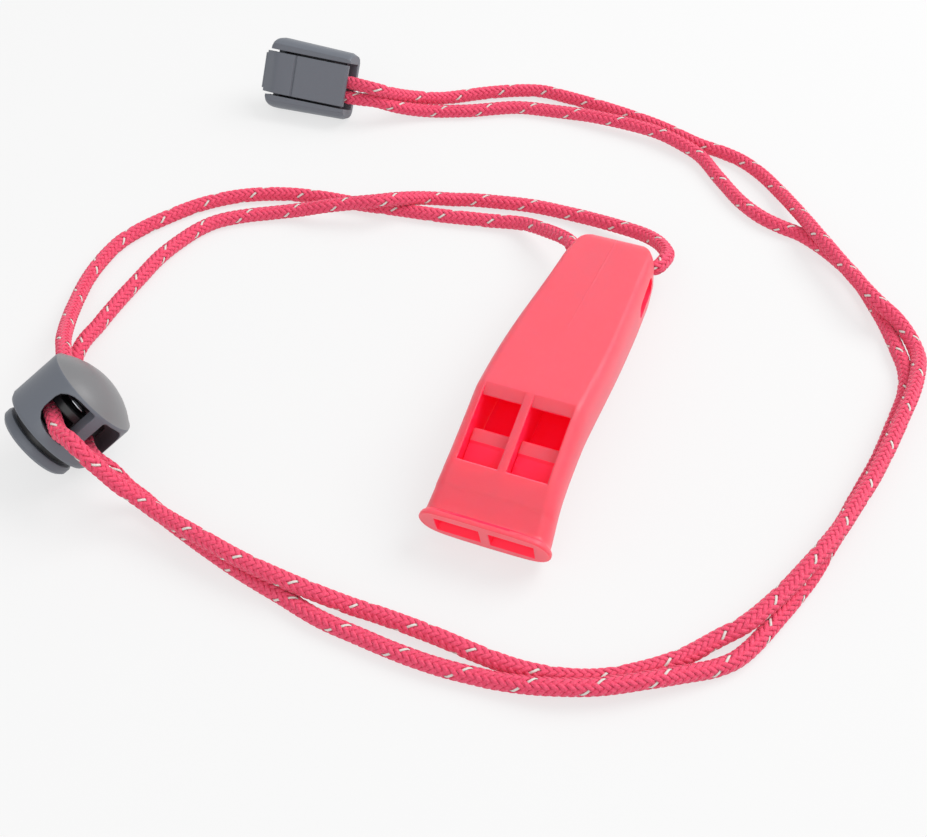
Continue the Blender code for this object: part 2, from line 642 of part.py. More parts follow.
def tube(name, points, diameter, resolution, material):
    """A round closed tube along a line of points."""
    curve = bpy.data.curves.new(name, "CURVE")
    curve.dimensions = "3D"
    curve.bevel_depth = diameter / 2 * MM
    curve.bevel_resolution = resolution
    curve.use_fill_caps = True
    spline = curve.splines.new("POLY")
    spline.points.add(len(points) - 1)
    for place_holder, point in zip(spline.points, points):
        place_holder.co = (*(point * MM), 1.0)
    spline.use_smooth = True
    curve.materials.append(material)
    item = bpy.data.objects.new(name, curve)
    bpy.context.scene.collection.objects.link(item)
    return item


def clip_matrix():
    """Clip frame: X from hinge to mouth, Y across, Z out of the lid, rolled about X onto the floor."""
    roll = math.radians(CLIP_ROLL)
    lift = -min(y * math.sin(roll) + z * math.cos(roll) for ring in clip_rings() for x, y, z in ring)
    matrix = Matrix.Rotation(math.radians(CLIP_HEADING), 4, "Z") @ Matrix.Rotation(roll, 4, "X")
    matrix.translation = Vector((*CLIP_PLACE, lift)) * MM
    return matrix


def clip_strand_z():
    return CLIP_FLOOR + CLIP_TEETH + 0.2 + CORD_D / 2


def clip_top(x):
    """Height of the wedge-shaped clip, higher at its hinge than at its mouth."""
    return CLIP_HINGE_HEIGHT + (CLIP_MOUTH_HEIGHT - CLIP_HINGE_HEIGHT) * x / CLIP_LENGTH


def clip_prism(name, outline, half_width, material=None):
    """A side outline of (x, z) points drawn across the clip."""
    rings = []
    for y in (-half_width, half_width):
        rings.append([(x, y, z) for x, z in outline])
    return loft(name, rings, material)


def clip_rings():
    """Round-sided cross-sections of the clip, drawn in at both ends."""
    insets = [(0, 1.0), (0.2, 0.55), (0.6, 0.22), (1.2, 0.05), (2.0, 0)]
    insets += [(CLIP_LENGTH - 1, 0), (CLIP_LENGTH, 0.4)]
    rings = []
    for x, inset in insets:
        half = (CLIP_HINGE_WIDTH + (CLIP_MOUTH_WIDTH - CLIP_HINGE_WIDTH) * x / CLIP_LENGTH) / 2
        tall = clip_top(x) - inset * 0.8
        right = [(x, (half - inset) * a, inset * 0.4 + tall * b) for a, b in CLIP_SECTION]
        rings.append(right + [(x, -y, z) for x, y, z in reversed(right[1:-1])])
    return rings


def make_clip(grey):
    frame = bpy.data.objects.new("clip_frame", None)
    bpy.context.scene.collection.objects.link(frame)
    frame.matrix_world = clip_matrix()
    inner = CLIP_MOUTH_WIDTH / 2 - CLIP_RAIL
    low = clip_strand_z() + CORD_D / 2 + CORD_CLEARANCE
    high = CLIP_HINGE_HEIGHT + 3
    end = CLIP_LENGTH + 3
    wall = HINGE_X + 2 * HINGE_R + LID_FIT + CLIP_END_WALL
    base = loft("cord_end_base", clip_rings(), grey, smooth=True)
    rod_low = HINGE_Z - HINGE_R - 0.4
    channel = [
        (wall, CLIP_FLOOR), (end, CLIP_FLOOR), (end, high), (HINGE_X - 3, high), (HINGE_X - 3, rod_low),
        (wall - CLIP_END_WALL, rod_low), (wall - CLIP_END_WALL, low - 0.4), (wall, low - 0.4),
    ]
    tools = [clip_prism("channel_tool", channel, inner)]
    cut(base, tools[0])
    pitch = (CLIP_LENGTH - wall - 2.0) / CLIP_TEETH_COUNT
    for step in range(CLIP_TEETH_COUNT):
        x = wall + 1.0 + pitch * (step + 0.5)
        tooth = [(x - 0.6, CLIP_FLOOR - 0.4), (x + 0.6, CLIP_FLOOR - 0.4), (x, CLIP_FLOOR + CLIP_TEETH)]
        tools.append(clip_prism(f"tooth_tool_{step + 1}", tooth, inner + 0.3))
        join(base, tools[-1])

    wide = inner - LID_FIT
    left = HINGE_X + 0.3
    right = CLIP_LENGTH - 0.3
    rod_right = HINGE_X + HINGE_R + 0.35
    outline = [
        (right - 0.3, low), (right, low + 0.3), (right, clip_top(right) - 0.3),
        (right - 0.4, clip_top(right)), (6.4, clip_top(6.4)), (6.1, clip_top(6.1) - 0.3),
        (5.7, clip_top(5.7)), (2.4, clip_top(2.4)),
        (1.3, clip_top(1.3) - 0.25), (0.4, clip_top(0.4) - 0.9), (left, clip_top(0) - 2.0), (left, HINGE_Z),
        (rod_right, HINGE_Z), (rod_right, low - 0.6), (rod_right + 0.65, low),
    ]
    lid = clip_prism("cord_end_lid", outline, wide, grey)
    rod = []
    for step in range(20):
        angle = 2 * math.pi * step / 20
        rod.append((HINGE_X + HINGE_R * math.cos(angle), HINGE_Z + HINGE_R * math.sin(angle)))
    tools.append(clip_prism("lid_rod_tool", rod, wide - 0.6))
    join(lid, tools[-1])
    for item in (base, lid, *tools):
        place(item, frame)


def on_floor(x, y, layers):
    """A route point at a height counted in cord thicknesses over the floor."""
    return Vector((x, y, CORD_D * (0.5 + layers)))


def lock_line(across):
    """Straight run of a strand through the lock, from the front to the back."""
    matrix = lock_matrix()
    run = []
    for along in (LOCK_FRONT_LEAD, 1.0, -3.0, -LOCK_BACK_LEAD):
        point = matrix @ (Vector((along, across, strand_height())) * MM)
        run.append(point / MM)
    return run


def clip_line(across):
    matrix = clip_matrix()
    run = []
    for along in (3.5, 9.0, 14.5, CLIP_LENGTH - 0.5):
        run.append(matrix @ (Vector((along, across, clip_strand_z())) * MM) / MM)
    return run


def cord_route():
    """The whole cord in order: clip, lock, left and right side of the whistle, lock and back to the clip."""
    reach = half_width(LENGTH - HOLE_FROM_END) + 0.3
    through = [Vector((x, hole_y(), HOLE_Z)) for x in (-reach, -reach / 3, reach / 3, reach)]
    route = clip_line(CLIP_STRANDS[0])
    route += [on_floor(*point) for point in CLIP_TO_LOCK]
    route += lock_line(-STRAND_OFFSET)
    route += [on_floor(*point) for point in LOCK_TO_LEFT_SIDE]
    route += [on_floor(x, y + hole_y(), layers) for x, y, layers in BEHIND_LEFT]
    route += through
    route += [on_floor(x, y + hole_y(), layers) for x, y, layers in BEHIND_RIGHT]
    route += [on_floor(*point) for point in RIGHT_SIDE_TO_LOCK]
    route += reversed(lock_line(STRAND_OFFSET))
    route += [on_floor(*point) for point in LOCK_TO_CLIP]
    route += reversed(clip_line(CLIP_STRANDS[1]))
    return route


def smooth_line(points, steps=12):
    """A centripetal smooth curve through the points."""
    padded = [points[0] * 2 - points[1], *points, points[-1] * 2 - points[-2]]
    line = []
    for p0, p1, p2, p3 in zip(padded, padded[1:], padded[2:], padded[3:]):
        t1 = (p1 - p0).length ** 0.5
        t2 = t1 + (p2 - p1).length ** 0.5
        t3 = t2 + (p3 - p2).length ** 0.5
        for step in range(steps):
            t = t1 + (t2 - t1) * step / steps
            a1 = p0.lerp(p1, t / t1)
            a2 = p1.lerp(p2, (t - t1) / (t2 - t1))
            a3 = p2.lerp(p3, (t - t2) / (t3 - t2))
            b1 = a1.lerp(a2, t / t2)
            b2 = a2.lerp(a3, (t - t1) / (t3 - t1))
            line.append(b1.lerp(b2, (t - t1) / (t2 - t1)))
    line.append(points[-1])
    for point in line:
        point.z = max(point.z, CORD_D / 2)
    return line


def thinned(line, count):
    """Fewer points of a line, closer together where it bends."""
    measure = [0.0]
    for before, here, after in zip(line, line[1:], line[2:] + [line[-1] * 2 - line[-2]]):
        step = here - before
        turn = step.angle(after - here, 0.0)
        measure.append(measure[-1] + step.length / 15 + turn / 0.3)
    kept = []
    for index in range(count):
        want = measure[-1] * index / (count - 1)
        at = min(range(len(line)), key=lambda i: abs(measure[i] - want))
        if not kept or line[at] != kept[-1]:
            kept.append(line[at])
    return kept


def make_cord(red):
    line = smooth_line(cord_route())
    length = sum((b - a).length for a, b in zip(line, line[1:]))
    lowest = min(point.z for point in line) - CORD_D / 2
    print(f"cord length {length:.0f} mm, lowest point {lowest:.2f} mm over the floor")
    tube("lanyard_cord", thinned(line, CORD_POINTS), CORD_D, 2, red)


def main():
    clear_scene()
    whistle_red = principled("whistle_red", (0.80, 0.09, 0.11), 0.45)
    cord_red = principled("cord_red", (0.62, 0.03, 0.07), 0.8)
    lock_grey = principled("lock_grey", (0.12, 0.125, 0.14), 0.55)
    spring_black = principled("spring_black", (0.03, 0.03, 0.032), 0.4)
    make_whistle(whistle_red)
    make_lock(lock_grey, spring_black)
    make_clip(lock_grey)
    make_cord(cord_red)


main()
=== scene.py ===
"""Looks of a flat twin-tone training whistle on a braided lanyard, with its cord lock and cord-end clip.

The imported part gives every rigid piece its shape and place. This script gives the pieces their finishes,
braids the cord along its route, winds the lock spring, and sets the stage, the light and the camera.
"""

import logging
import math
from dataclasses import dataclass, field
from enum import Enum
from typing import Any, Iterable, Sequence

import bpy
from mathutils import Matrix, Vector
from mathutils.bvhtree import BVHTree


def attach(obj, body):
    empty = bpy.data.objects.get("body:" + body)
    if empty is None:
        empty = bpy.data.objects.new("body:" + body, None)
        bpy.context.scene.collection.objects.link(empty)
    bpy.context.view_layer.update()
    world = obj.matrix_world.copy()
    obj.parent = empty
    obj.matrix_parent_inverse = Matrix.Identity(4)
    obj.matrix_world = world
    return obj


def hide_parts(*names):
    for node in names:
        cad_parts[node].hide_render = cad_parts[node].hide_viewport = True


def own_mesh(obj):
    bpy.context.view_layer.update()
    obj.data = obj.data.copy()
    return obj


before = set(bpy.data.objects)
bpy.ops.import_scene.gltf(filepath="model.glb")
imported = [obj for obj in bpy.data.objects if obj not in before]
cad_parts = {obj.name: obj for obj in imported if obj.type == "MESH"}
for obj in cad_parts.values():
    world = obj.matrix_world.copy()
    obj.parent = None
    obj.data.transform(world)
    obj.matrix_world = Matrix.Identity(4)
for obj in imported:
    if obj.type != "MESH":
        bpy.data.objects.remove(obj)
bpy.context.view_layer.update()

LOG = logging.getLogger("scene")
MM = 0.001

Point = tuple[float, float, float]
Colour = tuple[float, float, float]

# Numbers of sockets that share their name with others on the same node
MIX_FIRST_COLOUR, MIX_SECOND_COLOUR, MIX_COLOUR_RESULT = 6, 7, 2
COMPARE_FIRST_INTEGER, COMPARE_SECOND_INTEGER = 2, 3

# Cord route in millimetres, in the order the cord runs: clip, lock, left side, right side, lock, clip
FIRST_END: list[Point] = [
    (-87.45, 71.1, 8.18), (-81.95, 71.21, 8.18), (-76.46, 71.33, 8.18), (-72.86, 71.4, 8.18),
]
UPPER_STRAND: list[Point] = [
    (-66.8, 71.2, 8.12), (-62.9, 74.3, 5.71), (-59.2, 78.2, 3.5), (-55.2, 81.6, 2.1), (-49.4, 86.5, 1.4),
    (-40.4, 91.8, 1.4), (-34.7, 93.7, 1.4), (-29.3, 93.5, 1.4), (-18.4, 92.3, 1.4), (-5.6, 89.7, 1.4),
    (4.5, 86.1, 1.4), (9.2, 85.3, 1.4), (14, 83.7, 1.54), (19.1, 80.3, 1.68), (24.6, 74.8, 1.96),
    (30.2, 67.2, 3.3), (35.6, 59.5, 4.56), (40.6, 53.9, 4.42), (45.5, 47.9, 4.82), (50.1, 43.1, 4.93),
    (53.7, 41.2, 3.86), (57, 37.5, 3.19), (59, 34, 2.69), (59.6, 30.2, 3.42), (59.7, 23.6, 3.98),
    (58.9, 15.9, 4.31), (57.7, 6.7, 4.23), (56.4, -0.9, 4.09), (54.7, -8.5, 4.34), (53.3, -14.5, 4.54),
    (51.7, -19.7, 4.87), (49.7, -24.9, 4.54), (47.4, -30, 3.75), (43.3, -37.5, 3.14), (40.2, -40.6, 2.1),
    (35.4, -46.1, 1.4), (30.4, -50.4, 1.4), (25.1, -53.8, 1.4), (19.4, -55.8, 1.4), (13.3, -56.7, 1.4),
    (6.7, -56.5, 1.4), (-0.1, -55.8, 1.4), (-7, -55.4, 1.4), (-13.9, -55.3, 1.4), (-20.4, -56, 3.02),
    (-27.3, -55.9, 3.86), (-34.8, -55.1, 4.2), (-42.8, -53.6, 4.59), (-51.2, -51.7, 4.68),
    (-55.3, -50.8, 5.6), (-58.5, -51, 7.84), (-61.6, -51.1, 10.92), (-63.7, -51.4, 13.58),
    (-65.4, -50.9, 14.5), (-67.6, -49.9, 14.56), (-70.1, -48.8, 14.06),
]
FIRST_LOCK_RUN: list[Point] = [
    (-72.54, -46.51, 14.04), (-75.25, -43.68, 13.24), (-77.97, -40.86, 12.44), (-81.76, -36.9, 11.33),
]
LEFT_LOOP: list[Point] = [
    (-81.9, -33.2, 9.24), (-82.6, -29.8, 8.9), (-84.5, -26.9, 8.26), (-87, -23.5, 7.14),
    (-91.2, -16.1, 4.48), (-94.5, -8.7, 2.38), (-96.5, -2.1, 1.54), (-97.1, 3.6, 1.4), (-96.7, 10.5, 1.4),
    (-95, 15.5, 1.4), (-92.8, 19.7, 1.4), (-87.6, 27.4, 1.4), (-81.2, 33.1, 1.4), (-73.7, 36.8, 1.4),
    (-65.3, 38.8, 1.4), (-56.5, 39.7, 1.4), (-48, 41, 1.4), (-39.5, 42.2, 1.4), (-31.2, 43.9, 1.4),
    (-23.8, 45.1, 1.9), (-20.5, 44.3, 2.8), (-18, 43, 3.7), (-15.3, 41.4, 4.7), (-12.7, 39.6, 5.8),
    (-9.9, 37.3, 6.89),
]
HOLE_RUN: list[Point] = [
    (-7.96, 34.8, 7.4), (-2.65, 34.8, 7.4), (2.65, 34.8, 7.4), (7.96, 34.8, 7.4),
]
RIGHT_LOOP: list[Point] = [
    (9.1, 38, 7.2), (8.9, 41, 6.41), (6.7, 44.8, 5.21), (4.2, 47.5, 4.09), (1.2, 49.5, 3.11),
    (-5.5, 50.9, 2.52), (-12.3, 52.2, 1.68), (-21.1, 52.3, 1.4), (-29.4, 50.9, 1.4), (-37.6, 48.7, 1.4),
    (-44, 45.1, 2.66), (-47.8, 40.8, 4.48), (-51.8, 37.3, 5.24), (-56.8, 35.7, 4.42), (-61.6, 33.8, 3.78),
    (-66.9, 32.5, 2.24), (-74.5, 29.1, 1.4), (-81.2, 24.1, 1.4), (-83.7, 20.3, 1.4), (-85.5, 15.2, 1.4),
    (-86.8, 9.3, 1.4), (-87.2, 2.1, 1.4), (-87.5, -4.8, 1.4), (-87.5, -12.2, 1.4), (-86.9, -19.3, 2.24),
    (-83.6, -28.5, 2.66),
]
SECOND_LOCK_RUN: list[Point] = [
    (-78.08, -35.18, 4.9), (-74.29, -39.14, 6.02), (-71.57, -41.97, 6.82), (-68.86, -44.8, 7.62),
]
LOWER_STRAND: list[Point] = [
    (-66.8, -46.6, 7.84), (-64.7, -47.5, 7.73), (-62.1, -47.9, 6.86), (-59.4, -48.2, 4.2),
    (-56.7, -48.2, 2.24), (-53, -49.5, 1.54), (-43.8, -52.7, 1.4), (-35, -55.4, 1.4), (-26.8, -57.4, 1.4),
    (-19, -59.3, 1.4), (-11.7, -60.1, 1.4), (-4.8, -60.7, 1.4), (1.9, -60.8, 1.4), (8.2, -60.3, 1.4),
    (14.3, -59.6, 1.96), (20.2, -58.3, 2.63), (25.6, -56.2, 2.74), (30.8, -53.2, 2.74), (36, -49.6, 2.21),
    (41.2, -45.6, 1.4), (43.4, -43.3, 1.4), (45.4, -39.6, 1.4), (47.3, -34.5, 1.4), (49.2, -29.1, 1.4),
    (51.1, -22.8, 1.4), (52.3, -16.7, 1.4), (53.7, -10.4, 1.4), (54.9, -3.8, 1.4), (56.7, 5.7, 1.4),
    (58, 17.4, 1.4), (58.5, 24.1, 1.4), (57.6, 30.2, 1.4), (55.2, 35.6, 1.4), (52.5, 41, 1.4),
    (49.7, 45.7, 1.4), (44.2, 53.7, 1.4), (40.1, 57.5, 1.4), (35.9, 60.6, 1.4), (31.4, 63, 1.4),
    (27, 64.1, 1.4), (22.4, 65.9, 1.4), (17.3, 69.5, 1.4), (11.6, 75.4, 1.4), (5.6, 81.6, 1.82),
    (0.4, 84.1, 2.24), (-4.7, 85.9, 2.41), (-9.9, 86.7, 2.41), (-20.3, 87.3, 2.1), (-25.5, 87.3, 1.68),
    (-32.2, 86.6, 1.4), (-38.1, 85.3, 1.4), (-47.6, 80.2, 1.4), (-53.6, 77.6, 1.48), (-58.1, 75.4, 2.1),
    (-62.2, 72.8, 3.6), (-66.4, 70.75, 5.35), (-69.6, 70.0, 5.5),
]
SECOND_END: list[Point] = [
    (-72.82, 69.66, 5.5), (-76.42, 69.58, 5.5), (-81.92, 69.47, 5.5), (-87.42, 69.35, 5.5),
]


class Body(str, Enum):
    """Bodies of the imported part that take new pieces."""

    LANYARD = "lanyard"
    LOCK = "lock"


class Slot(str, Enum):
    """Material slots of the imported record."""

    WHISTLE = "whistle_red"
    CORD = "cord_red"
    GREY = "lock_grey"
    SPRING = "spring_black"


class Hand(Enum):
    """Way in which a family of yarns winds round the cord."""

    RIGHT = 1.0
    LEFT = -1.0


def add_object(name: str, data: bpy.types.ID) -> bpy.types.Object:
    """Adds an object to the scene.

    Args:
        name: Name of the object.
        data: Its mesh, curve, light or camera.

    Returns:
        The object, at the origin.
    """
    item = bpy.data.objects.new(name, data)
    bpy.context.scene.collection.objects.link(item)
    return item


def point_at(item: bpy.types.Object, place: Point, aim: Point) -> None:
    """Puts a lamp or camera in its place and turns it.

    Args:
        item: The lamp or camera.
        place: Where it goes.
        aim: What it looks at.
    """
    item.location = place
    item.rotation_euler = (Vector(aim) - Vector(place)).to_track_quat("-Z", "Y").to_euler()


def add_node(tree: bpy.types.NodeTree, kind: str, **settings: Any) -> bpy.types.Node:
    """Adds a node to a tree.

    Args:
        tree: Tree that takes the node.
        kind: Blender's type name of the node.
        settings: Properties to set on it.

    Returns:
        The new node.
    """
    node = tree.nodes.new(kind)
    for name, value in settings.items():
        setattr(node, name, value)
    return node


def feed(tree: bpy.types.NodeTree, socket: bpy.types.NodeSocket, value: Any) -> None:
    """Links a socket to another one, or sets its own value.

    Args:
        tree: Tree of the socket.
        socket: Input to fill.
        value: An output socket, or a constant.
    """
    if isinstance(value, bpy.types.NodeSocket):
        tree.links.new(value, socket)
    else:
        socket.default_value = value


def fill(tree: bpy.types.NodeTree, node: bpy.types.Node, values: dict[str, Any]) -> None:
    """Fills several inputs of a node.

    Args:
        tree: Tree of the node.
        node: The node.
        values: Output sockets or constants by input name.
    """
    for label, value in values.items():
        feed(tree, node.inputs[label], value)


def math_node(
    tree: bpy.types.NodeTree, operation: str, *values: Any, clamp: bool = False
) -> bpy.types.NodeSocket:
    """Adds a Math node.

    Args:
        tree: Tree that takes the node.
        operation: Name of the operation.
        values: Output sockets or constants for its inputs.
        clamp: Whether the result stays between 0 and 1.

    Returns:
        The node's output.
    """
    node = add_node(tree, "ShaderNodeMath", operation=operation, use_clamp=clamp)
    for socket, value in zip(node.inputs, values):
        feed(tree, socket, value)
    return node.outputs[0]


def vector_node(
    tree: bpy.types.NodeTree, operation: str, *values: Any, scale: Any = None
) -> bpy.types.NodeSocket:
    """Adds a Vector Math node.

    Args:
        tree: Tree that takes the node.
        operation: Name of the operation.
        values: Output sockets or constants for its vector inputs.
        scale: Factor of a SCALE operation.

    Returns:
        The node's vector output.
    """
    node = add_node(tree, "ShaderNodeVectorMath", operation=operation)
    for socket, value in zip(node.inputs, values):
        feed(tree, socket, value)
    if scale is not None:
        feed(tree, node.inputs["Scale"], scale)
    return node.outputs["Vector"]


def shader_group(
    name: str, inputs: Sequence[tuple[str, str, Any]], outputs: Sequence[tuple[str, str]]
) -> bpy.types.NodeTree:
    """Starts a shader node group with its sockets.

    Args:
        name: Name of the group.
        inputs: Name, socket type and default of each input.
        outputs: Name and socket type of each output.

    Returns:
        The group, holding its input and output nodes.
    """
    tree = bpy.data.node_groups.new(name, "ShaderNodeTree")
    for label, kind, default in inputs:
        tree.interface.new_socket(label, in_out="INPUT", socket_type=kind).default_value = default
    for label, kind in outputs:
        tree.interface.new_socket(label, in_out="OUTPUT", socket_type=kind)
    add_node(tree, "NodeGroupInput", name="in")
    add_node(tree, "NodeGroupOutput", name="out")
    return tree


def start_material(name: str) -> tuple[bpy.types.Material, bpy.types.NodeTree, bpy.types.Node]:
    """Starts a material.

    Args:
        name: Name of the material.

    Returns:
        The material, its node tree and its Principled shader.
    """
    made = bpy.data.materials.new(name)
    made.use_nodes = True
    return made, made.node_tree, made.node_tree.nodes["Principled BSDF"]


class Effects:
    """Shader node groups that several finishes share."""

    GRAIN_DETAIL = 3.0
    GRAIN_DEPTH = 0.05 * MM
    BLOTCH_SCALE = 60.0
    BLOTCH_RANGE = 0.12
    EDGE_SAMPLES = 6
    SEAM_HALF_WIDTH = 0.22 * MM
    SEAM_START = 4.0 * MM
    SEAM_DEPTH = 0.08 * MM
    FIBRE_SCALE = 3500.0
    FIBRE_DETAIL = 2.0
    FIBRE_DEPTH = 0.08 * MM

    def __init__(self) -> None:
        """Builds both groups."""
        self.moulded = self._moulded()
        self.fibre = self._fibre()

    def _moulded(self) -> bpy.types.NodeTree:
        """Faint unevenness of moulded plastic, soft edges, and a mould seam along the middle.

        Returns:
            A group that gives a normal and a roughness.
        """
        tree = shader_group(
            "moulded_skin",
            [("Scale", "NodeSocketFloat", 900.0), ("Height", "NodeSocketFloat", 0.1),
             ("Roughness", "NodeSocketFloat", 0.4), ("Edge", "NodeSocketFloat", 0.0003),
             ("Seam", "NodeSocketFloat", 0.0)],
            [("Normal", "NodeSocketVector"), ("Roughness", "NodeSocketFloat")],
        )
        given, out = tree.nodes["in"].outputs, tree.nodes["out"].inputs
        place = add_node(tree, "ShaderNodeTexCoord").outputs["Object"]
        parts = add_node(tree, "ShaderNodeSeparateXYZ")
        feed(tree, parts.inputs["Vector"], place)
        off_centre = math_node(tree, "ABSOLUTE", parts.outputs["X"])
        share = math_node(tree, "DIVIDE", off_centre, self.SEAM_HALF_WIDTH)
        line = math_node(tree, "SUBTRACT", 1.0, share, clamp=True)
        behind = math_node(tree, "GREATER_THAN", parts.outputs["Y"], self.SEAM_START)
        ridge = math_node(tree, "MULTIPLY", math_node(tree, "MULTIPLY", line, behind), given["Seam"])
        fine = add_node(tree, "ShaderNodeTexNoise")
        fill(tree, fine, {"Detail": self.GRAIN_DETAIL, "Vector": place, "Scale": given["Scale"]})
        broad = add_node(tree, "ShaderNodeTexNoise")
        fill(tree, broad, {"Scale": self.BLOTCH_SCALE, "Vector": place})
        rounded = add_node(tree, "ShaderNodeBevel", samples=self.EDGE_SAMPLES)
        feed(tree, rounded.inputs["Radius"], given["Edge"])
        bump = add_node(tree, "ShaderNodeBump")
        fill(tree, bump, {
            "Distance": self.GRAIN_DEPTH, "Strength": given["Height"], "Height": fine.outputs["Fac"],
            "Normal": rounded.outputs["Normal"],
        })
        raised = add_node(tree, "ShaderNodeBump")
        fill(tree, raised, {"Distance": self.SEAM_DEPTH, "Height": ridge, "Normal": bump.outputs["Normal"]})
        feed(tree, out["Normal"], raised.outputs["Normal"])
        half = self.BLOTCH_RANGE / 2
        drift = math_node(tree, "MULTIPLY_ADD", broad.outputs["Fac"], self.BLOTCH_RANGE, -half)
        feed(tree, out["Roughness"], math_node(tree, "ADD", given["Roughness"], drift))
        return tree

    def _fibre(self) -> bpy.types.NodeTree:
        """Fine filaments and uneven dye of a yarn.

        Returns:
            A group that gives a colour and a normal.
        """
        tree = shader_group(
            "yarn_fibre",
            [("Light", "NodeSocketColor", (1, 1, 1, 1)), ("Dark", "NodeSocketColor", (0, 0, 0, 1)),
             ("Height", "NodeSocketFloat", 0.5)],
            [("Colour", "NodeSocketColor"), ("Normal", "NodeSocketVector")],
        )
        given, out = tree.nodes["in"].outputs, tree.nodes["out"].inputs
        place = add_node(tree, "ShaderNodeTexCoord").outputs["Object"]
        noise = add_node(tree, "ShaderNodeTexNoise")
        fill(tree, noise, {"Scale": self.FIBRE_SCALE, "Detail": self.FIBRE_DETAIL, "Vector": place})
        mix = add_node(tree, "ShaderNodeMix", data_type="RGBA")
        feed(tree, mix.inputs["Factor"], noise.outputs["Fac"])
        feed(tree, mix.inputs[MIX_FIRST_COLOUR], given["Dark"])
        feed(tree, mix.inputs[MIX_SECOND_COLOUR], given["Light"])
        feed(tree, out["Colour"], mix.outputs[MIX_COLOUR_RESULT])
        bump = add_node(tree, "ShaderNodeBump")
        fill(tree, bump, {
            "Distance": self.FIBRE_DEPTH, "Strength": given["Height"], "Height": noise.outputs["Fac"],
        })
        feed(tree, out["Normal"], bump.outputs["Normal"])
        return tree


@dataclass(frozen=True)
class PlasticFinish:
    """Moulded plastic."""

    name: str
    colour: Colour
    roughness: float = 0.4
    grain: float = 0.1
    grain_scale: float = 900.0
    edge: float = 0.3 * MM
    glow: float = 0.0
    # Strength of a glow painted on the surface, standing in for light that comes through the wall
    painted_glow: float = 0.0
    seam: float = 0.0
    glow_radius: Point = (5.0 * MM, 0.4 * MM, 0.6 * MM)
    specular: float = 0.5

    @property
    def painted_glow_colour(self) -> Colour:
        """Colour of the painted glow that stands in for light that has come through a wall, which is nearly
        pure red.
        """
        return (self.colour[0], 0.0, 0.01)

    def material(self, effects: Effects) -> bpy.types.Material:
        """Makes the material.

        Args:
            effects: Shared node groups.

        Returns:
            The material.
        """
        made, tree, shader = start_material(self.name)
        skin = add_node(tree, "ShaderNodeGroup", node_tree=effects.moulded)
        fill(tree, skin, {
            "Scale": self.grain_scale, "Height": self.grain, "Roughness": self.roughness, "Edge": self.edge,
            "Seam": self.seam,
        })
        # The emission is a painted glow for light that has come through the wall
        fill(tree, shader, {
            "Base Color": (*self.colour, 1.0), "Specular IOR Level": self.specular,
            "Subsurface Weight": self.glow, "Subsurface Radius": self.glow_radius, "Subsurface Scale": 1.0,
            "Emission Color": (*self.painted_glow_colour, 1.0), "Emission Strength": self.painted_glow,
            "Normal": skin.outputs["Normal"], "Roughness": skin.outputs["Roughness"],
        })
        return made


@dataclass(frozen=True)
class YarnFinish:
    """Filament yarn of the braid."""

    name: str
    light: Colour
    dark: Colour
    roughness: float = 0.7
    sheen: float = 0.3
    height: float = 0.5
    specular: float = 0.2
    sheen_roughness: float = 0.4

    def material(self, effects: Effects) -> bpy.types.Material:
        """Makes the material.

        Args:
            effects: Shared node groups.

        Returns:
            The material.
        """
        made, tree, shader = start_material(self.name)
        fibre = add_node(tree, "ShaderNodeGroup", node_tree=effects.fibre)
        fill(tree, fibre, {"Light": (*self.light, 1.0), "Dark": (*self.dark, 1.0), "Height": self.height})
        fill(tree, shader, {
            "Roughness": self.roughness, "Specular IOR Level": self.specular, "Sheen Weight": self.sheen,
            "Sheen Roughness": self.sheen_roughness, "Base Color": fibre.outputs["Colour"],
            "Normal": fibre.outputs["Normal"],
        })
        return made


@dataclass(frozen=True)
class MetalFinish:
    """Dark bare spring wire."""

    name: str
    colour: Colour
    roughness: float
    metallic: float = 1.0

    def material(self) -> bpy.types.Material:
        """Makes the material.

        Returns:
            The material.
        """
        made, tree, shader = start_material(self.name)
        fill(tree, shader, {
            "Base Color": (*self.colour, 1.0), "Roughness": self.roughness, "Metallic": self.metallic,
        })
        return made


